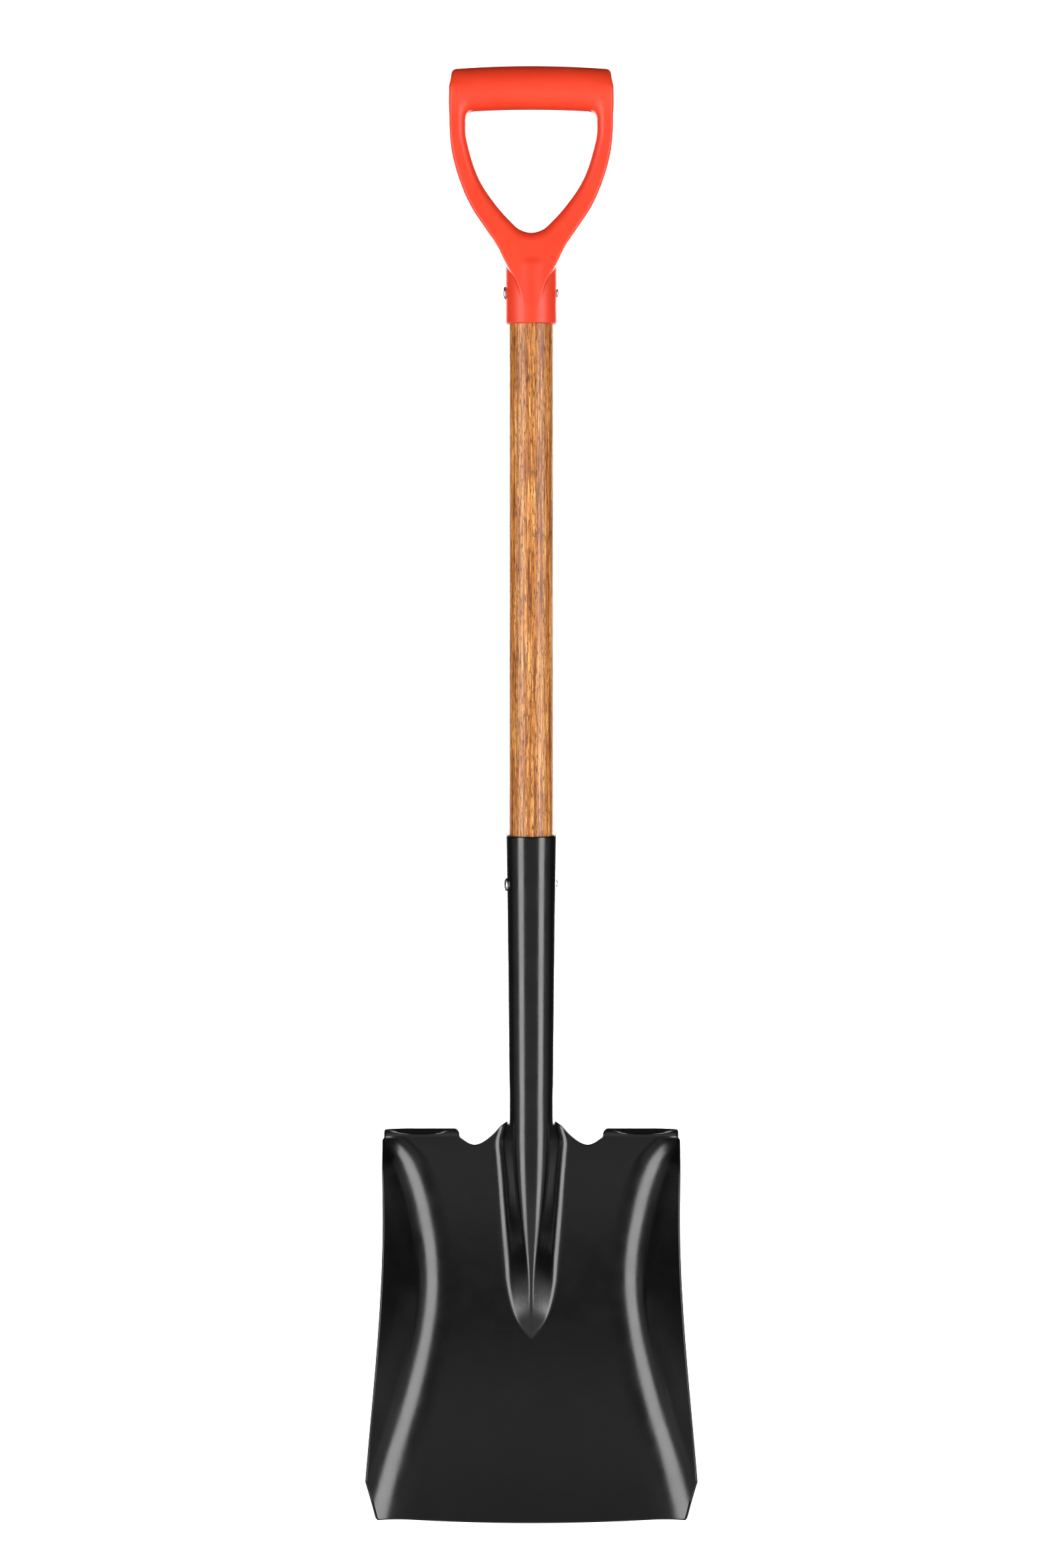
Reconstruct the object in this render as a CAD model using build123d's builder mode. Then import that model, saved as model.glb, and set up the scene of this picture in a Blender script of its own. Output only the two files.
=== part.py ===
from build123d import *
import math
import os

os.makedirs("parts", exist_ok=True)

# The shovel stands upright: +Z runs from the cutting edge up to the grip, the shaft's axis is
# the Z axis, the scoop opens towards -Y, and X = 0 is the plane of symmetry. Millimetres.
# Heights are stated from a datum 12.2 mm below the middle of the cutting edge.

# ---- shaft -------------------------------------------------------------------------------
shaft_radius = 16.0
shaft_foot_radius = 14.0
shaft_foot_z = 258.0
shaft_head_radius = 12.0
shaft_head_z = 903.0
shaft_head_taper_start = 862.0

# ---- blade and socket: one pressed sheet -------------------------------------------------
sheet = 1.5
socket_rim_z = 490.0
socket_rim_radius = 18.4
socket_neck_radius = 15.8
neck_z = 288.0
neck_lap = 1.6
seam_gap = 1.2
seam_opening_z = 345.0

floor_top_y = 6.0
floor_top_z = 280.0
floor_top_slope = 0.03
floor_curve = 5.56e-4
section_half_width = 124.0
section_slope_step = 0.05
lower_section_heights = [0.0, 34.0, 66.0, 96.0, 120.0]
last_section_height = 291.0
frog_columns = 10
side_columns = 8
frog_layout_half_width = 14.0

# The frog is the raised ridge that carries the socket down into the blade. Each row states
# height above the cutting edge, foot half width, crest radius, foot radius, crest height.
frog_rows = [
    (133.5, 0.0, 3.0, 3.0, 0.0),
    (139.6, 6.0, 3.0, 3.0, 1.6),
    (148.0, 12.2, 3.0, 5.0, 5.1),
    (158.3, 16.8, 3.0, 8.0, 8.0),
    (172.4, 20.5, 3.4, 10.5, 10.9),
    (186.4, 22.2, 5.0, 12.0, 13.3),
    (200.4, 23.6, 7.5, 12.5, 15.6),
    (214.5, 24.8, 10.0, 12.5, 17.8),
    (229.0, 25.8, 12.0, 12.0, 19.7),
    (243.0, 26.8, 13.8, 12.0, 20.9),
    (260.0, 28.0, 15.2, 11.5, 21.6),
    (271.0, 28.5, 15.8, 11.0, 21.9),
    (280.0, 24.5, 16.3, 7.0, 22.5),
    (288.0, 19.7, 16.6, 2.2, 22.9),
]

# The side walls turn forward along a bend. Each row states height, distance of the bend's
# middle from the centre plane, bend radius, wall angle.
wall_rows = [
    (5.0, 108.0, 49.0, 44.0),
    (27.0, 103.3, 49.0, 46.0),
    (58.6, 94.8, 48.0, 47.0),
    (97.6, 83.3, 43.0, 48.0),
    (140.0, 72.6, 38.0, 48.0),
    (174.5, 69.3, 36.0, 48.0),
    (210.5, 73.0, 38.0, 48.0),
    (254.0, 85.5, 40.0, 46.0),
    (275.0, 103.0, 38.0, 40.0),
    (300.0, 128.0, 38.0, 40.0),
]
bend_middle_angle = 24.0

# Outline of the flat sheet seen from the front, right half.
blade_top_z = 274.5
blade_top_half_width = 105.8
blade_waist_half_width = 103.9
blade_waist_z = 214.8
blade_flare_half_width = 116.0
blade_flare_z = 43.3
mouth_z = 12.2
mouth_corner_half_width = 108.7
mouth_corner_z = 15.7
mouth_corner_radius = 3.0
top_corner_radius = 3.5
scallop_low_x = 40.7
scallop_low_z = 268.5
scallop_start = (22.7, 281.4)
scallop_flank = (28.0, 275.4)
tread_inner_x = 51.5
neck_half_width = 16.6

tread_top_z = 279.3
tread_bend_radius = 5.0
tread_depth = 15.0
tread_fall = 11.0
tread_end_x = 104.0

# ---- grip --------------------------------------------------------------------------------
collar_z = 853.0
collar_radius = 18.3
collar_top_z = 892.0
collar_shoulder_z = 899.0
collar_shoulder_radius = 14.5
grip_bore_clearance = 0.05
crossbar_z = 1020.9
crossbar_crown = 2.4
crossbar_half_height = 15.5
crossbar_half_depth = 14.5
crossbar_half_width = 58.7
crossbar_line_half_width = 57.5
arm_top_half_depth = 12.0
arm_foot_half_depth = 17.0

# ---- rivets ------------------------------------------------------------------------------
rivet_radius = 2.6
rivet_hole_clearance = 0.06
head_radius = 4.6
head_height = 2.0
peened_radius = 3.1
peened_height = 1.4
head_bedding = 1.6
grip_rivet_z = 875.0
socket_rivet_z = 455.0
socket_rivet_turn = 12.0
socket_rivet_seat_radius = 18.05

# The origin of the finished pieces: the underside of the crossbar, where a peg holds the tool.
hang_z = crossbar_z - crossbar_half_height


def along(rows, z):
    """Values of a table of rows at height z, joined by a smooth curve through every row."""
    if z <= rows[0][0]:
        return list(rows[0][1:])
    if z >= rows[-1][0]:
        return list(rows[-1][1:])
    i = max(k for k in range(len(rows) - 1) if rows[k][0] <= z)
    low, high = rows[i], rows[i + 1]
    before = rows[max(i - 1, 0)]
    after = rows[min(i + 2, len(rows) - 1)]
    span = high[0] - low[0]
    t = (z - low[0]) / span
    values = []
    for k in range(1, len(low)):
        slope_low = (high[k] - before[k]) / (high[0] - before[0]) * span
        slope_high = (after[k] - low[k]) / (after[0] - low[0]) * span
        values.append(
            (2 * t**3 - 3 * t**2 + 1) * low[k]
            + (t**3 - 2 * t**2 + t) * slope_low
            + (3 * t**2 - 2 * t**3) * high[k]
            + (t**3 - t**2) * slope_high
        )
    return values


def floor_y(z):
    """Front face of the blade's floor on the centre plane, if there were no frog."""
    drop = floor_top_z - z
    return floor_top_y - floor_top_slope * drop - floor_curve * drop * abs(drop)


def frog_rise(x, z):
    """How far the frog stands forward of the floor: crest arc, straight flank, foot arc."""
    foot_half, crest, foot, height = along(frog_rows, z)
    if x >= foot_half or height <= 0:
        return 0.0
    both = crest + foot
    reach = math.hypot(foot_half, both - height)
    angle = math.asin(min(1.0, both / reach)) - math.atan2(both - height, foot_half)
    crest_end = crest * math.sin(angle)
    foot_start = foot_half - foot * math.sin(angle)
    if x < crest_end:
        return height - crest + math.sqrt(crest**2 - x**2)
    if x < foot_start:
        return height - crest * (1 - math.cos(angle)) - (x - crest_end) * math.tan(angle)
    return foot - math.sqrt(foot**2 - (foot_half - x) ** 2)


def wall_rise(x, z):
    """How far the side wall stands forward of the floor."""
    middle, radius, angle = along(wall_rows, z)
    angle = math.radians(angle)
    start = middle - radius * math.sin(math.radians(bend_middle_angle))
    if x <= start:
        return 0.0
    bend_end = start + radius * math.sin(angle)
    if x < bend_end:
        return radius - math.sqrt(radius**2 - (x - start) ** 2)
    return radius * (1 - math.cos(angle)) + (x - bend_end) * math.tan(angle)


def front_point(x, z):
    return Vector(x, floor_y(z) - frog_rise(abs(x), z) - wall_rise(abs(x), z), z)


def even_steps(x_low, x_high, z, count):
    """X values from x_low to x_high that lie evenly spaced along the section at height z."""
    fine = 400
    xs = [x_low + (x_high - x_low) * i / fine for i in range(fine + 1)]
    points = [front_point(x, z) for x in xs]
    reached = [0.0]
    for a, b in zip(points, points[1:]):
        reached.append(reached[-1] + (b - a).length)
    steps = []
    k = 0
    for i in range(1, count + 1):
        target = reached[-1] * i / count
        while k < fine - 1 and reached[k + 1] < target:
            k += 1
        part = (target - reached[k]) / (reached[k + 1] - reached[k])
        steps.append(xs[k] + (xs[k + 1] - xs[k]) * min(part, 1.0))
    return steps


def surface_columns(z):
    """X values of the section's points at height z, close together across the frog."""
    frog_edge = max(along(frog_rows, z)[0], frog_layout_half_width)
    half = even_steps(0.0, frog_edge, z, frog_columns)
    half += even_steps(frog_edge, section_half_width, z, side_columns)
    return [-x for x in reversed(half)] + [0.0] + half


def back_point(x, z):
    """Point of the back face behind (x, z), so that the sheet is equally thick on every slope."""
    step = section_slope_step
    slope_x = (front_point(x + step, z).Y - front_point(x - step, z).Y) / (2 * step)
    slope_z = (front_point(x, z + step).Y - front_point(x, z - step).Y) / (2 * step)
    return front_point(x, z) + Vector(0, sheet * math.sqrt(1 + slope_x**2 + slope_z**2), 0)


def sheet_section(z):
    """Closed outline of the sheet, wider than the blade, cut level at height z."""
    columns = surface_columns(z)
    front = [front_point(x, z) for x in columns]
    back = [back_point(x, z) for x in columns]
    right_end = Edge.make_line(front[-1], back[-1])
    left_end = Edge.make_line(back[0], front[0])
    return Wire([Edge.make_spline(front), right_end, Edge.make_spline(back[::-1]), left_end])


def make_plate():
    """The pressed sheet: a ruled solid through its level sections, cut to the blade's outline."""
    heights = lower_section_heights + [row[0] for row in frog_rows[:-1]] + [last_section_height]
    pressed = Solid.make_loft([sheet_section(z) for z in heights], ruled=True)
    with BuildPart() as plate:
        add(pressed)
        extrude(blade_outline(), amount=150, both=True, mode=Mode.INTERSECT)
    return plate.part


def blade_outline():
    """Sketch of the blade seen from the front, from the mouth up to the neck."""
    with BuildSketch(Plane.XZ) as outline:
        with BuildLine():
            Line((0, neck_z), (neck_half_width, neck_z))
            Spline(
                (neck_half_width, neck_z),
                scallop_start,
                scallop_flank,
                (scallop_low_x, scallop_low_z),
                (tread_inner_x, blade_top_z),
                tangents=((0.35, -1), (0.8, 0.6)),
            )
            Line((tread_inner_x, blade_top_z), (blade_top_half_width, blade_top_z))
            Spline(
                (blade_top_half_width, blade_top_z),
                (blade_waist_half_width, blade_waist_z),
                (blade_flare_half_width, blade_flare_z),
                tangents=((-0.02, -1), (0.08, -1)),
            )
            Line((blade_flare_half_width, blade_flare_z), (mouth_corner_half_width, mouth_corner_z))
            TangentArc((0, mouth_z), (mouth_corner_half_width, mouth_corner_z), tangent=(1, 0))
            Line((0, mouth_z), (0, neck_z))
        make_face()
        corners = outline.vertices().filter_by(lambda v: v.X > 100)
        fillet(corners.filter_by(lambda v: v.Y > 250), top_corner_radius)
        fillet(corners.filter_by(lambda v: v.Y < 25), mouth_corner_radius)
        mirror(about=Plane.YZ)
    return outline.sketch


def tread_profile():
    """Side view of the tread: the sheet rises, bends forward and falls a little to its edge."""
    start_y = floor_y(blade_top_z)
    turn = 90 + tread_fall
    with BuildSketch(Plane.YZ) as profile:
        with BuildLine() as path:
            rise = Line((start_y, blade_top_z - 3.0), (start_y, tread_top_z - tread_bend_radius))
            bend = CenterArc(
                (start_y - tread_bend_radius, tread_top_z - tread_bend_radius), tread_bend_radius, 0, turn
            )
            Line(bend @ 1, bend @ 1 + (bend % 1) * 24.0)
        trace(line_width=sheet)
    return profile.sketch


def make_tread():
    """One tread, right side: a lens-shaped lip along the top of the blade."""
    middle_x = (tread_inner_x + tread_end_x) / 2
    back_y = floor_y(blade_top_z)
    with BuildPart() as tread:
        with BuildSketch(Plane.XY) as lens:
            with BuildLine():
                ThreePointArc(
                    (tread_inner_x, back_y - 0.5),
                    (middle_x, back_y - tread_bend_radius - tread_depth),
                    (tread_end_x, back_y - 0.5),
                )
                Line((tread_end_x, back_y - 0.5), (tread_end_x, back_y + 4))
                Line((tread_end_x, back_y + 4), (tread_inner_x, back_y + 4))
                Line((tread_inner_x, back_y + 4), (tread_inner_x, back_y - 0.5))
            make_face()
        extrude(amount=socket_rim_z)
        extrude(tread_profile(), amount=socket_rim_z, mode=Mode.INTERSECT)
    return tread.part


def make_socket():
    """Tapered tube, open along its back, from the neck up to the rim."""
    with BuildPart() as socket:
        with BuildSketch(Plane.YZ):
            with BuildLine():
                Polyline(
                    (socket_neck_radius, neck_z - neck_lap),
                    (socket_rim_radius, socket_rim_z),
                    (socket_rim_radius - sheet, socket_rim_z),
                    (socket_neck_radius - sheet, neck_z - neck_lap),
                    close=True,
                )
            make_face()
        revolve(axis=Axis.Z)
        with BuildSketch(Plane.XZ):
            with BuildLine():
                Line((0, socket_rim_z + 5), (seam_gap / 2, socket_rim_z + 5))
                Line((seam_gap / 2, socket_rim_z + 5), (seam_gap / 2, seam_opening_z))
                Spline(
                    (seam_gap / 2, seam_opening_z),
                    (7.5, 306),
                    (socket_neck_radius + 1.0, neck_z + 2.0),
                    tangents=((0, -1), (1, -0.6)),
                )
                Line((socket_neck_radius + 1.0, neck_z + 2.0), (socket_neck_radius + 1.0, neck_z - 5))
                Line((socket_neck_radius + 1.0, neck_z - 5), (0, neck_z - 5))
                Line((0, neck_z - 5), (0, socket_rim_z + 5))
            make_face()
            mirror(about=Plane.YZ)
        extrude(amount=-40, mode=Mode.SUBTRACT)
        with Locations(socket_rivet_plane()):
            Cylinder(rivet_radius + rivet_hole_clearance, 80, mode=Mode.SUBTRACT)
    return socket.part


def socket_rivet_plane():
    return Plane(
        origin=(0, 0, socket_rivet_z),
        x_dir=(0, 0, 1),
        z_dir=(math.cos(math.radians(socket_rivet_turn)), math.sin(math.radians(socket_rivet_turn)), 0),
    )


def grip_rivet_plane():
    return Plane(origin=(0, 0, grip_rivet_z), x_dir=(0, 0, 1), z_dir=(1, 0, 0))


def make_blade():
    with BuildPart() as blade:
        add(make_plate())
        add(make_socket())
        tread = make_tread()
        add([tread, mirror(tread, about=Plane.YZ, mode=Mode.PRIVATE)])
    return blade


def make_shaft():
    """Turned hardwood shaft, tapered where it enters the socket and the grip."""
    with BuildPart() as shaft:
        with BuildSketch(Plane.YZ):
            with BuildLine():
                Polyline(
                    (0, shaft_foot_z),
                    (shaft_foot_radius - 3.0, shaft_foot_z),
                    (shaft_foot_radius, shaft_foot_z + 4.0),
                    (socket_neck_radius - sheet - 0.3, neck_z + 10.0),
                    (shaft_radius, socket_rim_z - 50.0),
                    (shaft_radius, shaft_head_taper_start),
                    (shaft_head_radius, shaft_head_z - 2.0),
                    (shaft_head_radius - 2.0, shaft_head_z),
                    (0, shaft_head_z),
                    (0, shaft_foot_z),
                )
            make_face()
        revolve(axis=Axis.Z)
        with Locations(socket_rivet_plane(), grip_rivet_plane()):
            Cylinder(rivet_radius + rivet_hole_clearance, 80, mode=Mode.SUBTRACT)
    return shaft


def grip_outline():
    """Sketch of the grip's arms and web from the front, with the hand opening cut out."""
    with BuildSketch(Plane.XZ) as outline:
        with BuildLine():
            Line((0, crossbar_z), (crossbar_half_width - 0.5, crossbar_z))
            Spline(
                (crossbar_half_width - 0.5, crossbar_z),
                (58.6, 992.0),
                (52.2, 958.6),
                (35.7, 924.4),
                (23.7, 907.0),
                (18.3, 896.0),
                (9.6, 880.0),
                (4.0, 858.0),
                tangents=((0, -1), (-0.15, -1)),
            )
            Line((4.0, 858.0), (0, 858.0))
            Line((0, 858.0), (0, crossbar_z))
        make_face()
        with BuildLine():
            Line((0, crossbar_z + 1), (46.3, crossbar_z + 1))
            Line((46.3, crossbar_z + 1), (46.3, 992.0))
            Spline(
                (46.3, 992.0),
                (43.9, 975.5),
                (35.7, 952.8),
                (19.4, 930.2),
                (12.6, 923.4),
                (0, 917.3),
                tangents=((0, -1), (-1, 0)),
            )
            Line((0, 917.3), (0, crossbar_z + 1))
        make_face(mode=Mode.SUBTRACT)
        mirror(about=Plane.YZ)
    return outline.sketch


def grip_side():
    """Sketch of the arms and web from the side: deep at the collar, slimmer at the hand."""
    with BuildSketch(Plane.YZ) as side:
        with BuildLine():
            Line((0, 850.0), (arm_foot_half_depth, 850.0))
            Line((arm_foot_half_depth, 850.0), (arm_foot_half_depth, 890.0))
            Spline(
                (arm_foot_half_depth, 890.0),
                (14.0, 930.0),
                (arm_top_half_depth, 975.0),
                (arm_top_half_depth, crossbar_z),
                tangents=((0, 1), (0, 1)),
            )
            Line((arm_top_half_depth, crossbar_z), (0, crossbar_z))
            Line((0, crossbar_z), (0, 850.0))
        make_face()
        mirror(about=Plane.XZ)
    return side.sketch


def make_crossbar():
    """Barrel of the grip: an oval bar that follows a slight crown, with rounded ends."""
    with BuildPart() as bar:
        with BuildLine(Plane.XZ) as path:
            ThreePointArc(
                (-crossbar_line_half_width, crossbar_z - crossbar_crown),
                (0, crossbar_z),
                (crossbar_line_half_width, crossbar_z - crossbar_crown),
            )
        with BuildSketch(path.line ^ 0):
            Ellipse(crossbar_half_height, crossbar_half_depth)
        sweep()
        fillet(bar.faces().filter_by(GeomType.PLANE).edges(), 3.5)
    return bar.part


def make_grip():
    with BuildPart() as grip:
        extrude(grip_outline(), amount=60, both=True)
        extrude(grip_side(), amount=200, both=True, mode=Mode.INTERSECT)
        add(make_crossbar())
        with BuildSketch(Plane.YZ):
            with BuildLine():
                Line((0, collar_z), (collar_radius - 1.0, collar_z))
                RadiusArc((collar_radius - 1.0, collar_z), (collar_radius, collar_z + 1.0), -1.0)
                Line((collar_radius, collar_z + 1.0), (collar_radius, collar_top_z))
                TangentArc(
                    (collar_radius, collar_top_z),
                    (collar_shoulder_radius, collar_shoulder_z),
                    tangent=(0, 1),
                )
                Line((collar_shoulder_radius, collar_shoulder_z), (0, collar_shoulder_z))
                Line((0, collar_shoulder_z), (0, collar_z))
            make_face()
        revolve(axis=Axis.Z)
        with BuildSketch(Plane.YZ):
            with BuildLine():
                Polyline(
                    (0, collar_z - 1),
                    (shaft_radius + grip_bore_clearance, collar_z - 1),
                    (shaft_radius + grip_bore_clearance, shaft_head_taper_start),
                    (shaft_head_radius + grip_bore_clearance, shaft_head_z + 1),
                    (0, shaft_head_z + 1),
                    (0, collar_z - 1),
                )
            make_face()
        revolve(axis=Axis.Z, mode=Mode.SUBTRACT)
        with Locations(grip_rivet_plane()):
            Cylinder(rivet_radius + rivet_hole_clearance, 80, mode=Mode.SUBTRACT)
    return grip


def make_rivet(plane, seat_radius):
    """Cross rivet through a round wall: domed factory head on -axis, peened end on +axis."""
    with BuildPart() as rivet:
        with BuildSketch(Plane.XZ):
            with BuildLine():
                ThreePointArc(
                    (0, seat_radius + peened_height),
                    (peened_radius * 0.72, seat_radius + peened_height * 0.62),
                    (peened_radius, seat_radius - 0.2),
                )
                Polyline(
                    (peened_radius, seat_radius - 0.2),
                    (peened_radius, seat_radius - head_bedding),
                    (0, seat_radius - head_bedding),
                    (0, seat_radius + peened_height),
                )
            make_face()
            with BuildLine():
                ThreePointArc(
                    (0, -seat_radius - head_height),
                    (head_radius * 0.72, -seat_radius - head_height * 0.66),
                    (head_radius, -seat_radius - 0.2),
                )
                Polyline(
                    (head_radius, -seat_radius - 0.2),
                    (head_radius, -seat_radius + head_bedding),
                    (0, -seat_radius + head_bedding),
                    (0, -seat_radius - head_height),
                )
            make_face()
        revolve(axis=Axis.Z)
        Cylinder(seat_radius, 40, rotation=(0, 90, 0), mode=Mode.SUBTRACT)
        Cylinder(rivet_radius, 2 * seat_radius + 0.6)
    return plane * rivet.part


def deliver(solid, name):
    """Move a finished piece so that the hanging point is the origin, then write it."""
    piece = Pos(0, 0, -hang_z) * solid
    piece.label = name
    export_step(piece, "parts/" + name + ".step")


blade = make_blade()
shaft = make_shaft()
grip = make_grip()
grip_rivet = make_rivet(grip_rivet_plane(), collar_radius)
socket_rivet = make_rivet(socket_rivet_plane(), socket_rivet_seat_radius)

deliver(blade.part, "blade")
deliver(shaft.part, "shaft")
deliver(grip.part, "grip")
deliver(grip_rivet, "grip_rivet")
deliver(socket_rivet, "socket_rivet")
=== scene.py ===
import math

import bpy
import numpy as np
from mathutils import Matrix, Vector

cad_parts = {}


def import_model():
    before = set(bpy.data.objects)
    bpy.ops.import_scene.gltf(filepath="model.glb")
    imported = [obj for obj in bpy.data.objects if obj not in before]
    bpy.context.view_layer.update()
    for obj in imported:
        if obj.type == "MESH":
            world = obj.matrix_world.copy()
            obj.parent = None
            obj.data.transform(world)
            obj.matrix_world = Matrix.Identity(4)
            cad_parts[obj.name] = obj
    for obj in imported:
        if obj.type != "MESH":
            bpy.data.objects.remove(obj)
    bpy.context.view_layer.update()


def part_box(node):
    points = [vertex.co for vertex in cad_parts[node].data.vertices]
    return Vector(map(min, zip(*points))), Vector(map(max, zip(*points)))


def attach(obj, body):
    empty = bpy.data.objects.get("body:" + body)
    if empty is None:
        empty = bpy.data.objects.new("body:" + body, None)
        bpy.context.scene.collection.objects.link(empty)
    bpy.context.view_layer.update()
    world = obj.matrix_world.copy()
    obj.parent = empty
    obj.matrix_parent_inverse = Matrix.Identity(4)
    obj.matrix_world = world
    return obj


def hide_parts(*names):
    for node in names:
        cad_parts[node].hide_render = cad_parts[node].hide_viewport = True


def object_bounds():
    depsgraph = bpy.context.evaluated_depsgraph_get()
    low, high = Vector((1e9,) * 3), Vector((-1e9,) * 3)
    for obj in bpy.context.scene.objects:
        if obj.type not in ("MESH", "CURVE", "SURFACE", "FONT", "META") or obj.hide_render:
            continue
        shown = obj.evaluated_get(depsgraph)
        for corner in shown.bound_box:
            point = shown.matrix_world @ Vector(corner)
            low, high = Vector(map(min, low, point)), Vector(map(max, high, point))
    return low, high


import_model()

# Heights in this file are millimetres above the CAD model's datum, 12.2 mm below the cutting
# edge. The socket's rim is 490 mm above it, so the CAD blade's top gives its height in the frame.
DATUM_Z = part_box("blade")[1][2] - 0.490


def world(points):
    """Millimetres above the datum to metres in the frame."""
    p = np.asarray(points, float) * 0.001
    p[..., 2] += DATUM_Z
    return p


def make_mesh(name, verts, faces):
    mesh = bpy.data.meshes.new(name)
    mesh.from_pydata([tuple(v) for v in verts], [], [tuple(f) for f in faces])
    mesh.validate()
    mesh.update()
    mesh.shade_smooth()
    obj = bpy.data.objects.new(name, mesh)
    bpy.context.scene.collection.objects.link(obj)
    return obj


# ---- the pressed sheet ---------------------------------------------------------------------
SHEET = 1.5
FLOOR_TOP_Y, FLOOR_TOP_Z, FLOOR_SLOPE, FLOOR_CURVE = 6.0, 280.0, 0.03, 5.56e-4
# height, half width at the foot, radius of the crest, radius of the foot, rise above the floor
FROG = [
    (133.5, 0.0, 3.0, 3.0, 0.0),
    (139.6, 6.0, 3.0, 3.0, 1.6),
    (148.0, 12.2, 3.0, 5.0, 5.1),
    (158.3, 16.8, 3.0, 8.0, 8.0),
    (172.4, 20.5, 3.4, 10.5, 10.9),
    (186.4, 22.2, 5.0, 12.0, 13.3),
    (200.4, 23.6, 7.5, 12.5, 15.6),
    (214.5, 24.8, 10.0, 12.5, 17.8),
    (229.0, 25.8, 12.0, 12.0, 19.7),
    (243.0, 26.8, 13.8, 12.0, 20.9),
    (260.0, 28.0, 15.2, 11.5, 21.6),
    (271.0, 28.5, 15.8, 11.0, 21.9),
    (280.0, 24.5, 16.0, 7.0, 22.1),
    (288.0, 19.2, 16.0, 2.2, 22.2),
]
# height, distance of the bend's middle from the centre, bend radius, angle of the wall in degrees
WALL = [
    (5.0, 106.5, 56.0, 44.0),
    (27.0, 101.8, 55.0, 46.0),
    (58.6, 93.6, 52.0, 47.0),
    (97.6, 82.0, 46.0, 48.0),
    (140.0, 72.6, 38.0, 48.0),
    (174.5, 69.3, 36.0, 48.0),
    (210.5, 73.0, 38.0, 48.0),
    (254.0, 85.5, 40.0, 46.0),
    (275.0, 103.0, 38.0, 40.0),
    (300.0, 128.0, 38.0, 40.0),
]
BEND_MIDDLE = math.radians(24.0)
NECK_Z = 288.0
NECK_HALF = 16.4


def smooth_rows(rows, z):
    """Columns of a table at heights z, on a smooth curve through every row."""
    t = np.array(rows, float)
    z = np.clip(np.asarray(z, float), t[0, 0], t[-1, 0])
    i = np.clip(np.searchsorted(t[:, 0], z, side="right") - 1, 0, len(t) - 2)
    before, after = np.maximum(i - 1, 0), np.minimum(i + 2, len(t) - 1)
    span = t[i + 1, 0] - t[i, 0]
    u = (z - t[i, 0]) / span
    out = []
    for k in range(1, t.shape[1]):
        low, high = t[i, k], t[i + 1, k]
        m0 = (high - t[before, k]) / (t[i + 1, 0] - t[before, 0]) * span
        m1 = (t[after, k] - low) / (t[after, 0] - t[i, 0]) * span
        out.append(
            (2 * u**3 - 3 * u**2 + 1) * low
            + (u**3 - 2 * u**2 + u) * m0
            + (3 * u**2 - 2 * u**3) * high
            + (u**3 - u**2) * m1
        )
    return out


def floor_y(z):
    drop = FLOOR_TOP_Z - z
    return FLOOR_TOP_Y - FLOOR_SLOPE * drop - FLOOR_CURVE * drop * np.abs(drop)


def frog_rise(x, z):
    half, crest, foot, height = smooth_rows(FROG, z)
    x = np.abs(x)
    inside = (x < half) & (height > 1e-6)
    half = np.where(inside, half, 1.0)
    height = np.where(inside, height, 0.1)
    both = crest + foot
    reach = np.hypot(half, both - height)
    angle = np.arcsin(np.clip(both / reach, -1, 1)) - np.arctan2(both - height, half)
    crest_end = crest * np.sin(angle)
    foot_start = half - foot * np.sin(angle)
    top = height - crest + np.sqrt(np.maximum(crest**2 - x**2, 0))
    flank = height - crest * (1 - np.cos(angle)) - (x - crest_end) * np.tan(angle)
    low = foot - np.sqrt(np.maximum(foot**2 - (half - x) ** 2, 0))
    rise = np.where(x < crest_end, top, np.where(x < foot_start, flank, low))
    return np.where(inside, rise, 0.0)


def wall_rise(x, z):
    middle, radius, angle = smooth_rows(WALL, z)
    angle = np.radians(angle)
    d = np.abs(x) - (middle - radius * math.sin(BEND_MIDDLE))
    end = radius * np.sin(angle)
    arc = radius - np.sqrt(np.maximum(radius**2 - np.clip(d, 0, None) ** 2, 0))
    straight = radius * (1 - np.cos(angle)) + (d - end) * np.tan(angle)
    return np.where(d <= 0, 0.0, np.where(d < end, arc, straight))


def front_y(x, z):
    return floor_y(z) - frog_rise(x, z) - wall_rise(x, z)


def spline_through(points, tangent_start, tangent_end, count=200):
    """Points on a smooth curve through the given points, with the end directions given."""
    p = np.array(points, float)
    chord = np.linalg.norm(np.diff(p, axis=0), axis=1)
    m = np.zeros_like(p)
    for i in range(1, len(p) - 1):
        a, b = chord[i - 1], chord[i]
        m[i] = ((p[i] - p[i - 1]) / a * b + (p[i + 1] - p[i]) / b * a) / (a + b)
    m[0] = np.array(tangent_start) / np.linalg.norm(tangent_start)
    m[-1] = np.array(tangent_end) / np.linalg.norm(tangent_end)
    out = []
    for i in range(len(p) - 1):
        u = np.linspace(0, 1, count // (len(p) - 1), endpoint=False)[:, None]
        h = chord[i]
        out.append(
            (2 * u**3 - 3 * u**2 + 1) * p[i]
            + (u**3 - 2 * u**2 + u) * m[i] * h
            + (3 * u**2 - 2 * u**3) * p[i + 1]
            + (u**3 - u**2) * m[i + 1] * h
        )
    out.append(p[-1:])
    return np.concatenate(out)


TOP_Z, TOP_HALF = 274.5, 105.6
TREAD_IN, TREAD_OUT = 51.5, 105.6
CORNER_HALF, CORNER_Z = 108.0, 15.9
FLARE_HALF, FLARE_Z = 115.2, 43.3
WAIST_HALF, WAIST_Z = 103.9, 214.8
MOUTH_Z = 12.5
TOP_CORNER_RADIUS = 1.2
MOUTH_CORNER_RADIUS, MOUTH_CORNER_DROP, MOUTH_CORNER_SHARE = 3.0, 0.6, 0.9

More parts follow.
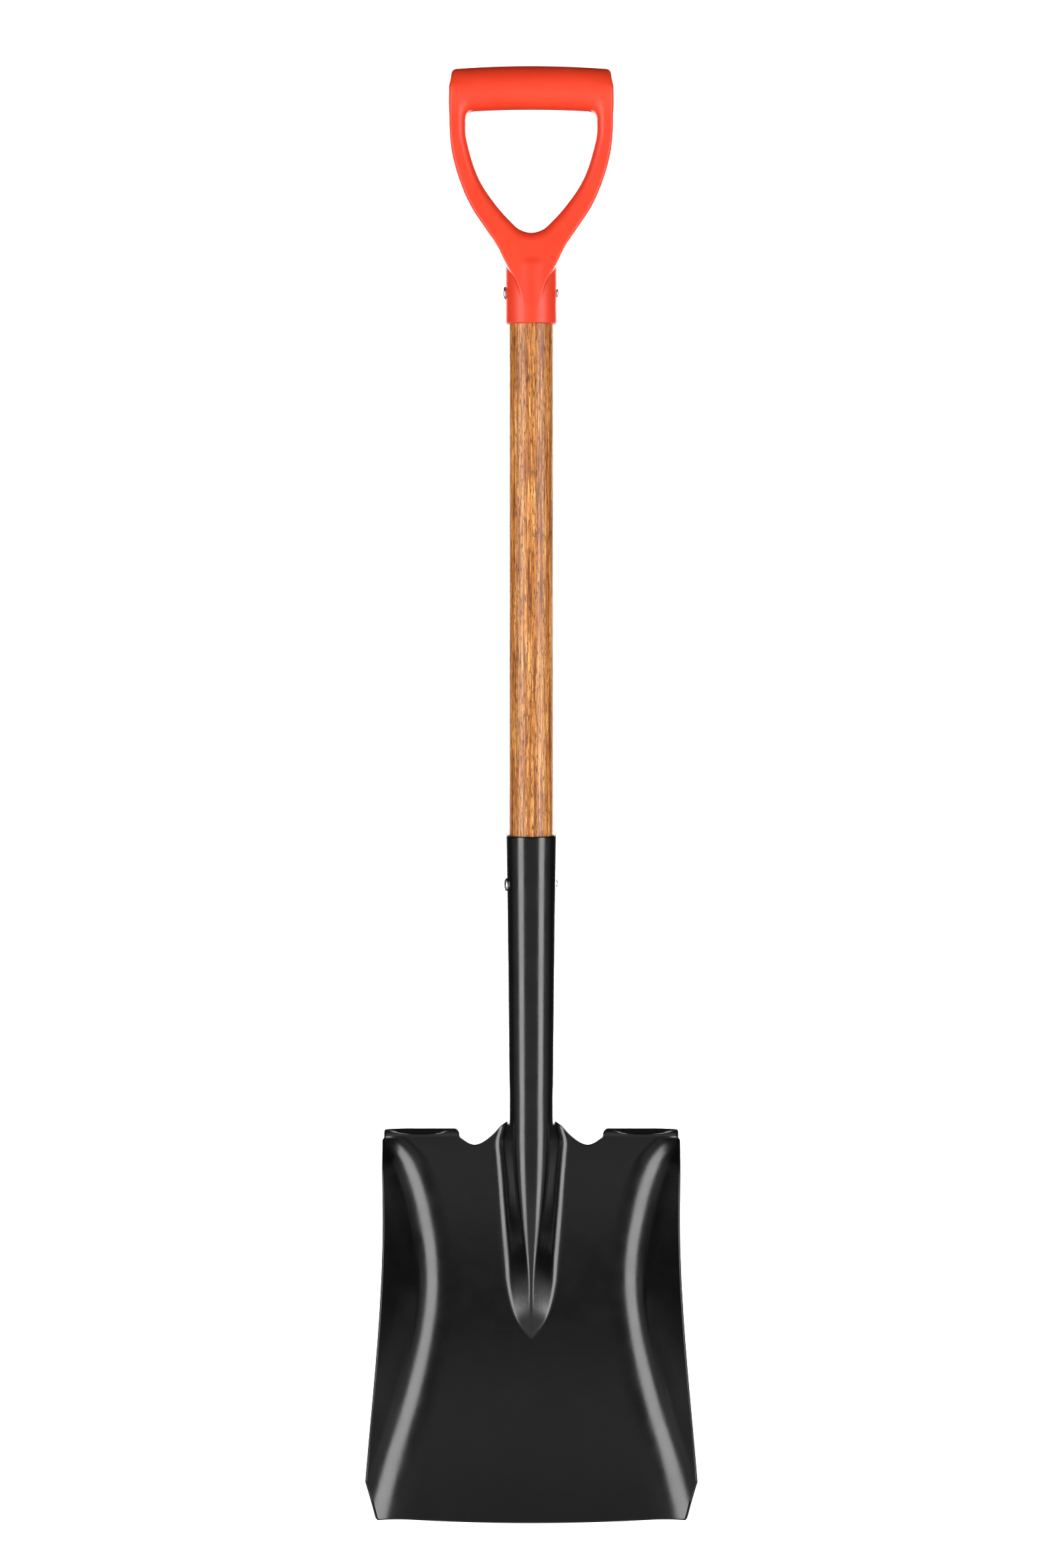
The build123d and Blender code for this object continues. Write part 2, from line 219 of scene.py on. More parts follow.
neck_curve = spline_through(
    [(NECK_HALF, NECK_Z), (22.7, 281.4), (28.0, 275.4), (40.7, 268.5), (TREAD_IN, TOP_Z)],
    (0.35, -1),
    (0.8, 0.6),
)
side_curve = spline_through(
    [(TOP_HALF, TOP_Z), (WAIST_HALF, WAIST_Z), (FLARE_HALF, FLARE_Z)],
    (-0.02, -1),
    (0.08, -1),
)
side_curve = np.concatenate([side_curve, [(CORNER_HALF, CORNER_Z)]])[::-1]


def top_z(x):
    """Top outline of the flat sheet, seen from the front."""
    x = np.abs(x)
    z = np.interp(x, neck_curve[:, 0], neck_curve[:, 1])
    z = np.where(x <= NECK_HALF, NECK_Z, z)
    return np.where(x >= TREAD_IN, TOP_Z, z)


def bottom_z(x):
    """Cutting edge, a shallow arc from corner to corner."""
    rise = CORNER_Z - MOUTH_Z
    radius = (CORNER_HALF**2 + rise**2) / (2 * rise)
    return MOUTH_Z + radius - np.sqrt(radius**2 - np.minimum(np.abs(x), CORNER_HALF) ** 2)


def corner_cut(distance, radius):
    """How far a rounded corner stands inside the square one, at that distance from its end."""
    d = np.clip(radius - distance, 0, radius)
    return radius - np.sqrt(radius**2 - d**2)


def side_half(z):
    """Half width of the blade at height z, with the outer corners rounded."""
    half = np.interp(z, side_curve[:, 1], side_curve[:, 0])
    half = half - corner_cut(TOP_Z - z, TOP_CORNER_RADIUS)
    mouth_cut = corner_cut(z - CORNER_Z + MOUTH_CORNER_DROP, MOUTH_CORNER_RADIUS)
    return half - mouth_cut * MOUTH_CORNER_SHARE


COLUMNS_EACH_SIDE = 110
BLADE_ROWS = 190
SQUARE_FROM_Z = 262.0  # above this, the columns between the treads stand upright

SOCKET_RIM_Z, SOCKET_RINGS = 490.0, 96
SOCKET_RADIUS = [(288, 15.9), (340, 16.45), (390, 16.95), (440, 17.6), (490, 18.35)]
SOCKET_HALF_ANGLE = [
    (288, 84),
    (294, 92),
    (304, 110),
    (316, 133),
    (330, 158),
    (345, 176),
    (352, 178.2),
]
NECK_BLEND = 26.0

TREAD_BEND, TREAD_FALL = 5.0, math.radians(101.0)
TREAD_LENGTH, TREAD_STEPS = 19.0, 18


def bell(x, middle, width):
    return np.exp(-((x - middle) / width) ** 2)


def even_columns():
    """Column positions from -1 to 1 across the sheet, close together where it bends."""
    x = np.linspace(0, 1, 2001)
    weight = 1.0 + 2.2 * bell(x, 0.08, 0.16)
    weight += 0.5 * (x > 0.5)
    weight += 1.2 * bell(x, 0.49, 0.03) + 1.5 * bell(x, 1.0, 0.02)
    total = np.concatenate([[0], np.cumsum((weight[1:] + weight[:-1]) / 2)])
    half = np.interp(np.linspace(0, total[-1], COLUMNS_EACH_SIDE + 1), total, x)
    for edge in (NECK_HALF / TOP_HALF, TREAD_IN / TOP_HALF):
        half[np.argmin(np.abs(half - edge))] = edge
    return np.concatenate([-half[:0:-1], half])


def blade_grid(columns, verts, faces):
    """Adds the blade's front; gives its vertices' numbers, row by row from the mouth up."""
    t = np.linspace(0, 1, BLADE_ROWS + 1)
    top = top_z(columns * TOP_HALF)
    low = bottom_z(columns * CORNER_HALF)
    z = low[None, :] + t[:, None] * (top - low)[None, :]
    x = columns[None, :] * side_half(np.minimum(z, TOP_Z))
    upper = np.clip((z - SQUARE_FROM_Z) / (TOP_Z - SQUARE_FROM_Z), 0, 1)
    inner = np.clip((TREAD_IN / TOP_HALF - np.abs(columns)) * 8, 0, 1)[None, :]
    x = x + (columns[None, :] * TOP_HALF - x) * upper * inner
    verts += zip(x.ravel(), front_y(x, z).ravel(), z.ravel())
    index = np.arange(x.size).reshape(x.shape)
    for below, above in zip(index, index[1:]):
        for j in range(len(columns) - 1):
            faces.append((below[j], below[j + 1], above[j + 1], above[j]))
    return index


def add_socket(neck, verts, faces):
    """The arch of the neck goes on upward and closes round to a seam at the back."""
    arch = np.array([verts[v] for v in neck])
    length = np.concatenate([[0], np.cumsum(np.linalg.norm(np.diff(arch, axis=0), axis=1))])
    q = 2 * length / length[-1] - 1
    previous = neck
    for k in range(1, SOCKET_RINGS + 1):
        z = NECK_Z + (SOCKET_RIM_Z - NECK_Z) * k / SOCKET_RINGS
        radius = np.interp(z, *zip(*SOCKET_RADIUS))
        angle = np.radians(np.interp(z, *zip(*SOCKET_HALF_ANGLE))) * q
        ring = np.stack([radius * np.sin(angle), -radius * np.cos(angle), np.full_like(q, z)], -1)
        blend = np.clip((z - NECK_Z) / NECK_BLEND, 0, 1)
        blend = blend * blend * (3 - 2 * blend)
        if blend < 1:
            neckline = arch.copy()
            neckline[:, 2] = z
            ring = ring * blend + neckline * (1 - blend)
        current = np.arange(len(verts), len(verts) + len(ring))
        verts += [tuple(p) for p in ring]
        for j in range(len(ring) - 1):
            faces.append((previous[j], previous[j + 1], current[j + 1], current[j]))
        previous = current


def add_tread(edge, verts, faces):
    """A lip that bends forward from the top edge, widest at its middle."""
    x = np.array([verts[v][0] for v in edge])
    s = (np.abs(x) - (TREAD_IN + TREAD_OUT) / 2) / ((TREAD_OUT - TREAD_IN) / 2)
    develop = TREAD_LENGTH * np.sqrt(np.clip(1 - s**2, 0, 1)) ** 1.15
    previous = edge
    for k in range(1, TREAD_STEPS + 1):
        d = develop * k / TREAD_STEPS
        a = np.minimum(d / TREAD_BEND, TREAD_FALL)
        extra = np.maximum(d - TREAD_BEND * TREAD_FALL, 0)
        forward = TREAD_BEND * (1 - np.cos(a)) + extra * math.sin(TREAD_FALL)
        up = TREAD_BEND * np.sin(a) + extra * math.cos(TREAD_FALL)
        current = []
        for m, v in enumerate(edge):
            if develop[m] < 0.05:
                current.append(v)
                continue
            current.append(len(verts))
            base = verts[v]
            verts.append((base[0], base[1] - forward[m], base[2] + up[m]))
        for m in range(len(edge) - 1):
            quad = [previous[m], previous[m + 1], current[m + 1], current[m]]
            kept = [v for i, v in enumerate(quad) if v != quad[i - 1]]
            if len(set(kept)) >= 3:
                faces.append(tuple(dict.fromkeys(kept)))
        previous = current


def sheet_grid():
    """Vertices and faces of the whole head's front: the blade's grid with three tongues."""
    columns = even_columns()
    verts, faces = [], []
    top = blade_grid(columns, verts, faces)[-1]
    add_socket(top[np.abs(columns) <= NECK_HALF / TOP_HALF + 1e-9], verts, faces)
    for side in (-1, 1):
        along = side * columns * TOP_HALF
        add_tread(top[(along >= TREAD_IN - 0.01) & (along <= TREAD_OUT + 0.01)], verts, faces)
    return np.array(verts), faces


def thick_sheet(name, verts, faces, thickness, rim_steps=4):
    """A sheet with that front face, behind it a back face, and round edges between them."""
    n = len(verts)
    normal = np.zeros((n, 3))
    count = {}
    for f in faces:
        p = verts[list(f)]
        if len(f) == 4:
            c = np.cross(p[2] - p[0], p[3] - p[1])
        else:
            c = np.cross(p[1] - p[0], p[2] - p[0])
        for v in f:
            normal[v] += c
        for a, b in zip(f, f[1:] + f[:1]):
            count[(a, b)] = count.get((a, b), 0) + 1
    normal /= np.maximum(np.linalg.norm(normal, axis=1), 1e-12)[:, None]
    border = [(a, b) for (a, b) in count if (b, a) not in count]
    out = np.zeros((n, 3))
    for a, b in border:
        direction = verts[b] - verts[a]
        o = np.cross(direction, normal[a] + normal[b])
        o /= max(np.linalg.norm(o), 1e-12)
        out[a] += o
        out[b] += o
    rim = np.array(sorted({v for e in border for v in e}))
    out[rim] -= normal[rim] * np.sum(out[rim] * normal[rim], axis=1)[:, None]
    out[rim] /= np.maximum(np.linalg.norm(out[rim], axis=1), 1e-12)[:, None]
    r = thickness / 2
    front = verts.copy()
    front[rim] -= out[rim] * r
    back = front - normal * thickness
    all_verts = [front, back]
    place = {v: i for i, v in enumerate(rim)}
    rings = [rim]
    middle = (front[rim] + back[rim]) / 2
    base = 2 * n
    for k in range(1, rim_steps):
        a = math.pi / 2 - math.pi * k / rim_steps
        all_verts.append(middle + out[rim] * r * math.cos(a) + normal[rim] * r * math.sin(a))
        rings.append(np.arange(base, base + len(rim)))
        base += len(rim)
    rings.append(rim + n)
    new_faces = [tuple(f) for f in faces] + [tuple(v + n for v in reversed(f)) for f in faces]
    for a, b in border:
        ia, ib = place[a], place[b]
        for k in range(rim_steps):
            new_faces.append((rings[k][ib], rings[k][ia], rings[k + 1][ia], rings[k + 1][ib]))
    return make_mesh(name, world(np.concatenate(all_verts)), new_faces)


blade_verts, blade_faces = sheet_grid()
blade = thick_sheet("blade_pressed", blade_verts, blade_faces, SHEET)


# ---- lathe work ----------------------------------------------------------------------------
def lathe(name, profile, segments=96, matrix=None):
    """Solid of revolution about Z from (radius, height) points; the ends lie on the axis."""
    profile = [(max(r, 0.0), z) for r, z in profile]
    verts, rings, faces = [], [], []
    for r, z in profile:
        if r < 1e-6:
            rings.append([len(verts)])
            verts.append((0, 0, z))
        else:
            rings.append(list(range(len(verts), len(verts) + segments)))
            for k in range(segments):
                a = 2 * math.pi * k / segments
                verts.append((r * math.cos(a), r * math.sin(a), z))
    for low, high in zip(rings, rings[1:]):
        for k in range(segments):
            m = (k + 1) % segments
            if len(low) == 1:
                faces.append((low[0], high[m], high[k]))
            elif len(high) == 1:
                faces.append((low[k], low[m], high[0]))
            else:
                faces.append((low[k], low[m], high[m], high[k]))
    pts = np.array(verts, float)
    if matrix is not None:
        m = np.array(matrix)
        pts = pts @ m[:3, :3].T + m[:3, 3]
    return make_mesh(name, world(pts), faces)


SHAFT_RADIUS = 15.97


def shaft_profile():
    """Foot in the socket, straight middle, taper and end inside the grip."""
    foot = [(0, 258.0), (11.0, 258.0), (13.9, 262.0), (14.0, 298.0), (15.2, 390.0), (15.98, 440.0)]
    middle = [(SHAFT_RADIUS, z) for z in np.linspace(450, 855, 82)]
    top = [(SHAFT_RADIUS, 862.0), (12.0, 901.0), (10.0, 903.0), (0, 903.0)]
    return foot + middle + top


shaft = lathe("shaft_wood", shaft_profile(), 128)

RIVET_HEAD, RIVET_SHANK, RIVET_PEENED = 4.6, 2.6, 3.05
HEAD_HEIGHT, PEENED_HEIGHT = 2.0, 1.4


def rivet(name, height, seat, turn):
    """Domed factory head on one side, smaller peened end on the other."""
    profile = [(0, -seat - HEAD_HEIGHT)]
    for a in np.linspace(0.15, 1.45, 10):
        profile.append((RIVET_HEAD * math.sin(a), -seat - HEAD_HEIGHT * math.cos(a) ** 0.8))
    profile += [(RIVET_HEAD, -seat + 0.15), (RIVET_HEAD - 0.15, -seat + 0.9)]
    profile += [(RIVET_SHANK, -seat + 1.0), (RIVET_SHANK, seat - 0.9)]
    profile += [(RIVET_PEENED - 0.1, seat - 0.8), (RIVET_PEENED, seat - 0.1)]
    for a in np.linspace(0.2, 1.45, 8):
        profile.append((RIVET_PEENED * math.cos(a), seat + PEENED_HEIGHT * math.sin(a) ** 0.9))
    profile += [(0, seat + PEENED_HEIGHT)]
    across = Matrix.Rotation(turn, 4, "Z") @ Matrix.Rotation(math.pi / 2, 4, "Y")
    return lathe(name, profile, 40, Matrix.Translation((0, 0, height)) @ across)


grip_rivet = rivet("grip_rivet_steel", 875.0, 18.3, 0.0)
socket_rivet = rivet("socket_rivet_steel", 455.0, 17.95, math.radians(12.0))


# ---- the grip, from one distance field -----------------------------------------------------
def polygon_distance(poly, px, pz):
    """Signed distance to a closed polygon, negative inside."""
    best = np.full(px.shape, 1e9)
    inside = np.zeros(px.shape, bool)
    for (ax, az), (bx, bz) in zip(poly, np.roll(poly, -1, axis=0)):
        ex, ez = bx - ax, bz - az
        wx, wz = px - ax, pz - az
        t = np.clip((wx * ex + wz * ez) / max(ex * ex + ez * ez, 1e-12), 0, 1)
        best = np.minimum(best, (wx - ex * t) ** 2 + (wz - ez * t) ** 2)
        cross = (az > pz) != (bz > pz)
        with np.errstate(divide="ignore", invalid="ignore"):
            at = ax + (pz - az) / (bz - az) * ex if abs(bz - az) > 1e-12 else ax
        inside ^= cross & (px < at)
    return np.where(inside, -1, 1) * np.sqrt(best)


def round_max(a, b, r):
    """Intersection of two fields with its edge rounded to radius r."""
    return np.minimum(np.maximum(a, b), -r) + np.hypot(np.maximum(a + r, 0), np.maximum(b + r, 0))


def soft_min(a, b, k):
    """Union of two fields with the crease filled."""
    h = np.clip(0.5 + 0.5 * (b - a) / k, 0, 1)
    return b + (a - b) * h - k * h * (1 - h)


def surface_net(field, origin, step):
    """Quads on the zero level of a field sampled on a grid, one vertex a cell."""
    inside = field < 0
    nx, ny, nz = field.shape
    corners = [(i, j, k) for i in (0, 1) for j in (0, 1) for k in (0, 1)]
    total = np.zeros((nx - 1, ny - 1, nz - 1), int)
    for i, j, k in corners:
        total += inside[i : nx - 1 + i, j : ny - 1 + j, k : nz - 1 + k]
    active = (total > 0) & (total < 8)
    cells = np.argwhere(active)
    number = -np.ones(active.shape, int)
    number[active] = np.arange(len(cells))
    sum_p, sum_n = np.zeros((len(cells), 3)), np.zeros(len(cells))
    for a in corners:
        for axis in range(3):
            if a[axis]:
                continue
            b = list(a)
            b[axis] = 1
            fa = field[cells[:, 0] + a[0], cells[:, 1] + a[1], cells[:, 2] + a[2]]
            fb = field[cells[:, 0] + b[0], cells[:, 1] + b[1], cells[:, 2] + b[2]]
            cross = (fa < 0) != (fb < 0)
            t = np.where(cross, fa / np.where(cross, fa - fb, 1), 0)
            p = np.repeat(np.array([a], float), len(cells), 0)
            p[:, axis] += t
            sum_p += p * cross[:, None]
            sum_n += cross
    verts = origin + (cells + sum_p / sum_n[:, None]) * step
    faces = []
    for axis in range(3):
        u, v = (axis + 1) % 3, (axis + 2) % 3
        low = [slice(None)] * 3
        high = [slice(None)] * 3
        low[axis], high[axis] = slice(0, -1), slice(1, None)
        change = inside[tuple(low)] != inside[tuple(high)]
        for c in np.argwhere(change):
            if c[u] == 0 or c[v] == 0 or c[u] >= active.shape[u] or c[v] >= active.shape[v]:
                continue
            quad = []
            for du, dv in ((-1, -1), (0, -1), (0, 0), (-1, 0)):
                q = c.copy()
                q[u] += du
                q[v] += dv
                quad.append(number[tuple(q)])
            if min(quad) < 0:
                continue
            faces.append(tuple(quad) if inside[tuple(c)] else tuple(reversed(quad)))
    return verts, faces


OUTER = spline_through(
    [
        (58.4, 1021.0),
        (58.7, 992.0),
        (52.2, 958.6),
        (42.6, 935.6),
        (31.4, 918.6),
        (23.7, 907.0),
        (18.3, 896.0),
        (9.6, 880.0),
        (5.0, 862.0),
    ],
    (0, -1),
    (-0.2, -1),
    160,
)
INNER_TOP_HALF = 46.6
INNER = spline_through(
    [
        (INNER_TOP_HALF, 990.0),
        (43.9, 975.5),
        (35.7, 952.8),
        (26.0, 938.2),
        (15.6, 926.2),
        (8.2, 919.6),
        (0.0, 917.3),
    ],
    (0, -1),
    (-1, 0),
    120,
)
ABOVE_BAR = 1030.0
ARM_TOP_Z = 1021.0
ARM_HALF_DEPTH = [
    (850, 17.0),
    (890, 17.0),
    (905, 16.3),
    (930, 14.1),
    (950, 12.9),
    (975, 12.0),
    (1040, 12.0),
]
GRIP_HALF = 58.7
BAR_Z, BAR_SAG = 1020.9, 2.4
BAR_HALF_DEPTH, BAR_HALF_HEIGHT = 14.5, 15.5
COLLAR_RADIUS, COLLAR_FOOT_Z, COLLAR_SHOULDER_Z, COLLAR_END_Z = 18.3, 853.0, 893.0, 900.0
BORE_RADIUS, BORE_TOP_Z = 16.05, 862.0


def grip_field(x, y, z):
    """Negative inside the grip. x, y, z are grids of millimetres."""
    flat_x, flat_z = x[:, 0, :], z[:, 0, :]
    outer = np.concatenate([OUTER, (OUTER * [-1, 1])[::-1]])
    lid = [[(INNER_TOP_HALF, ABOVE_BAR)], [(-INNER_TOP_HALF, ABOVE_BAR)]]
    inner = np.concatenate([lid[0], INNER, (INNER * [-1, 1])[::-1], lid[1]])
    d_out = polygon_distance(outer, flat_x, flat_z)[:, None, :]
    d_in = -polygon_distance(inner, flat_x, flat_z)[:, None, :]
    plate = np.abs(y) - np.interp(z, *zip(*ARM_HALF_DEPTH))
    edge = np.interp(z, [880, 930], [0.7, 2.2])
    arms = round_max(d_out, plate, edge)
    arms = round_max(arms, d_in, 6.5)
    arms = np.maximum(arms, z - ARM_TOP_Z)
    centre = BAR_Z - BAR_SAG * (x / GRIP_HALF) ** 2
    ring = np.hypot(y / BAR_HALF_DEPTH, (z - centre) / BAR_HALF_HEIGHT)
    bar = (ring - 1) * 15.0
    half = GRIP_HALF - 0.012 * np.clip(z - 1005.0, 0, None) ** 1.55
    bar = round_max(bar, np.abs(x) - half, 3.0)
    body = soft_min(arms, bar, 7.0)
    body = round_max(body, np.abs(x) - GRIP_HALF, 2.5)
    radius = np.hypot(x, y)
    collar = round_max(radius - COLLAR_RADIUS, COLLAR_FOOT_Z - z, 1.0)
    dome = radius - COLLAR_RADIUS + np.clip(z - COLLAR_SHOULDER_Z, 0, None) ** 2 * 0.05
    collar = np.maximum(np.maximum(collar, dome), z - COLLAR_END_Z)
    body = soft_min(body, collar, 1.2)
    bore = np.maximum(radius - BORE_RADIUS, z - BORE_TOP_Z)
    return np.maximum(body, -bore)


def make_grip():
    step = 0.6
    low = np.array([-60.4, -20.4, 850.0])
    count = np.ceil(np.array([120.8, 40.8, 189.0]) / step).astype(int) + 1
    axes = [low[i] + np.arange(count[i]) * step for i in range(3)]
    x, y, z = np.meshgrid(*axes, indexing="ij")
    verts, faces = surface_net(grip_field(x, y, z), low, step)
    return make_mesh("grip_moulded", world(verts), faces)


grip = make_grip()


# ---- materials -----------------------------------------------------------------------------
def new_material(name):
    m = bpy.data.materials.new(name)
    m.use_nodes = True
    t = m.node_tree
    t.nodes.clear()
    out = t.nodes.new("ShaderNodeOutputMaterial")
    bsdf = t.nodes.new("ShaderNodeBsdfPrincipled")
    t.links.new(bsdf.outputs[0], out.inputs[0])
    where = t.nodes.new("ShaderNodeTexCoord").outputs["Object"]
    return m, t, bsdf, where


def noise(t, where, scale, detail=3.0, rough=0.5, stretch=(1, 1, 1), distort=0.0):
    """Noise whose features are about 1/scale metres wide."""
    mapping = t.nodes.new("ShaderNodeMapping")
    mapping.inputs["Scale"].default_value = stretch
    t.links.new(where, mapping.inputs["Vector"])
    n = t.nodes.new("ShaderNodeTexNoise")
    n.inputs["Scale"].default_value = scale
    n.inputs["Detail"].default_value = detail
    n.inputs["Roughness"].default_value = rough
    n.inputs["Distortion"].default_value = distort
    t.links.new(mapping.outputs[0], n.inputs["Vector"])
    return n.outputs[0]


def ramp(t, value, stops):
    """Colour ramp; each stop is (position, colour or grey)."""
    r = t.nodes.new("ShaderNodeValToRGB")
    e = r.color_ramp.elements
    while len(e) < len(stops):
        e.new(0.5)
    for i, (p, c) in enumerate(stops):
        e[i].position = p
        e[i].color = (*c, 1) if hasattr(c, "__len__") else (c, c, c, 1)
    t.links.new(value, r.inputs[0])
    return r.outputs[0]


def mix(t, factor, a, b, mode="MIX"):
    m = t.nodes.new("ShaderNodeMix")
    m.data_type = "RGBA"
    m.blend_type = mode
    for socket, value in ((m.inputs[0], factor), (m.inputs[6], a), (m.inputs[7], b)):
        if hasattr(value, "is_output"):
            t.links.new(value, socket)
        elif hasattr(value, "__len__"):
            socket.default_value = (*value, 1)
        else:
            socket.default_value = value
    return m.outputs[2]


def math_node(t, op, a, b=0.0):
    m = t.nodes.new("ShaderNodeMath")
    m.operation = op
    for socket, value in ((m.inputs[0], a), (m.inputs[1], b)):
        if hasattr(value, "is_output"):
            t.links.new(value, socket)
        else:
            socket.default_value = value
    return m.outputs[0]


def bump(t, bsdf, heights):
    """Stacks bumps: each is (height output, distance in metres, strength)."""
    last = None
    for height, distance, strength in heights:
        b = t.nodes.new("ShaderNodeBump")
        b.inputs["Distance"].default_value = distance
        b.inputs["Strength"].default_value = strength
        t.links.new(height, b.inputs["Height"])
        if last is not None:
            t.links.new(last, b.inputs["Normal"])
        last = b.outputs[0]
    t.links.new(last, bsdf.inputs["Normal"])


def black_paint():
    m, t, bsdf, where = new_material("black_paint")
    dust = noise(t, where, 900, 2, 0.6)
    cloud = noise(t, where, 22, 4, 0.55)
    base = ramp(t, cloud, [(0.3, (0.0014, 0.0014, 0.0015)), (0.7, (0.0024, 0.0024, 0.0025))])
    speck = ramp(t, dust, [(0.70, 0.0), (0.76, 1.0)])
    colour = mix(t, math_node(t, "MULTIPLY", speck, 0.3), base, (0.03, 0.03, 0.03))
    t.links.new(colour, bsdf.inputs["Base Color"])
    rough = ramp(t, noise(t, where, 60, 3, 0.5), [(0.3, 0.17), (0.7, 0.23)])
    t.links.new(rough, bsdf.inputs["Roughness"])
    bsdf.inputs["IOR"].default_value = 1.5
    peel = noise(t, where, 420, 2, 0.5)
    wave = noise(t, where, 55, 2, 0.4)
    bump(t, bsdf, [(wave, 0.0005, 0.16), (peel, 0.00008, 0.28)])
    return m


def wood():
    m, t, bsdf, where = new_material("varnished_wood")
    broad = noise(t, where, 70, 3, 0.5, (1, 1, 0.05), 0.4)
    streak = noise(t, where, 640, 5, 0.65, (1, 1, 0.03), 0.3)
    fibre = noise(t, where, 1500, 3, 0.65, (1, 1, 0.03))
    pores = noise(t, where, 1500, 2, 0.5, (1, 1, 0.12), 0.2)
    colour = ramp(
        t,
        streak,
        [
            (0.32, (0.16, 0.042, 0.009)),
            (0.42, (0.38, 0.125, 0.026)),
            (0.52, (0.60, 0.245, 0.055)),
            (0.64, (0.86, 0.46, 0.16)),
        ],
    )
    tint = ramp(
        t,
        broad,
        [(0.3, (0.70, 0.58, 0.48)), (0.5, (1.0, 0.95, 0.86)), (0.7, (1.0, 1.0, 0.92))],
    )
    colour = mix(t, 0.75, colour, tint, "MULTIPLY")
    threads = ramp(t, fibre, [(0.40, (0.36, 0.25, 0.17)), (0.54, (1.0, 1.0, 1.0))])
    colour = mix(t, 0.7, colour, threads, "MULTIPLY")
    dark = ramp(t, pores, [(0.55, 0.0), (0.60, 1.0)])
    colour = mix(t, math_node(t, "MULTIPLY", dark, 0.8), colour, (0.10, 0.026, 0.007))
    t.links.new(colour, bsdf.inputs["Base Color"])
    rough = ramp(t, fibre, [(0.3, 0.34), (0.7, 0.46)])
    t.links.new(rough, bsdf.inputs["Roughness"])
    bsdf.inputs["Specular IOR Level"].default_value = 0.35
    bsdf.inputs["Coat Weight"].default_value = 0.15
    bsdf.inputs["Coat Roughness"].default_value = 0.28
    bump(t, bsdf, [(streak, 0.00012, 0.5), (pores, 0.00015, 0.4)])
    return m


def orange_plastic():
    m, t, bsdf, where = new_material("orange_plastic")
    cloud = noise(t, where, 30, 4, 0.5)
    colour = ramp(t, cloud, [(0.3, (0.70, 0.038, 0.012)), (0.7, (0.76, 0.047, 0.015))])
    t.links.new(colour, bsdf.inputs["Base Color"])
    bsdf.inputs["Specular IOR Level"].default_value = 0.38
    fine = noise(t, where, 1600, 2, 0.6)
    rough = ramp(t, noise(t, where, 120, 3), [(0.3, 0.38), (0.7, 0.46)])
    t.links.new(rough, bsdf.inputs["Roughness"])
    bump(t, bsdf, [(fine, 0.00005, 0.5), (noise(t, where, 90, 2), 0.0003, 0.25)])
    return m


def steel():
    m, t, bsdf, where = new_material("rivet_steel")
    cloud = noise(t, where, 500, 3, 0.6)
    colour = ramp(t, cloud, [(0.3, (0.42, 0.42, 0.43)), (0.7, (0.66, 0.66, 0.66))])
    t.links.new(colour, bsdf.inputs["Base Color"])
    bsdf.inputs["Metallic"].default_value = 1.0
    t.links.new(ramp(t, cloud, [(0.3, 0.22), (0.7, 0.4)]), bsdf.inputs["Roughness"])
    bump(t, bsdf, [(noise(t, where, 1500, 2), 0.00004, 0.5)])
    return m


metal = steel()
for piece, node, slot, material in (
    (blade, "blade", "black_paint", black_paint()),
    (shaft, "shaft", "varnished_wood", wood()),
    (grip, "grip", "orange_plastic", orange_plastic()),
    (grip_rivet, "grip_rivet", "rivet_steel", metal),
    (socket_rivet, "socket_rivet", "rivet_steel", metal),
):
    piece.data.materials.append(material)
    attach(piece, "root")
    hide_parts(node)


# ---- studio --------------------------------------------------------------------------------
def studio_surface(name, verts, faces):
    """Pale matt surface that lights nothing and shows in no reflection."""
    obj = make_mesh(name, verts, faces)
    m, _, bsdf, _ = new_material(name)
    bsdf.inputs["Base Color"].default_value = (0.86, 0.86, 0.86, 1)
    bsdf.inputs["Roughness"].default_value = 0.9
    bsdf.inputs["Specular IOR Level"].default_value = 0.1
    bsdf.inputs["Emission Color"].default_value = (1, 1, 1, 1)
    bsdf.inputs["Emission Strength"].default_value = 1.0
    obj.data.materials.append(m)
    obj.visible_glossy = False
    obj.visible_diffuse = False
    return obj


def surround(radius, low, high, segments=48):
    """Upright wall all round the floor, far enough out to stand behind every camera."""
    verts, faces = [], []
    for k in range(segments):
        a = 2 * math.pi * k / segments
        verts += [(radius * math.cos(a), radius * math.sin(a), z) for z in (low, high)]
        n = 2 * ((k + 1) % segments)
        faces.append((2 * k, 2 * k + 1, n + 1, n))
    return verts, faces


FLOOR_HALF = 3.2
WALL_RADIUS, WALL_BELOW, WALL_ABOVE = 9.0, 4.0, 8.0
floor_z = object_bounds()[0][2] - 0.0005
corners = [(x * FLOOR_HALF, y * FLOOR_HALF, floor_z) for x, y in ((-1, -1), (1, -1), (1, 1), (-1, 1))]
studio_surface("studio_floor", corners, [(0, 1, 2, 3)])
upright = surround(WALL_RADIUS, floor_z - WALL_BELOW, floor_z + WALL_ABOVE)
studio_surface("studio_wall", *upright).visible_shadow = False


def strip_light(name, angle, distance, width, height, centre_z, power):
    """Tall soft box aimed at the tool, that many degrees round from the camera; not seen itself."""
    data = bpy.data.lights.new(name, "AREA")
    data.shape = "RECTANGLE"
    data.size, data.size_y = width, height
    data.energy = power
    obj = bpy.data.objects.new(name, data)
    bpy.context.scene.collection.objects.link(obj)
    a = math.radians(angle)
    obj.location = (distance * math.sin(a), -distance * math.cos(a), centre_z)
    aim = Vector((0, 0, centre_z)) - obj.location
    obj.rotation_euler = aim.to_track_quat("-Z", "Y").to_euler()
    obj.visible_camera = False
    return obj


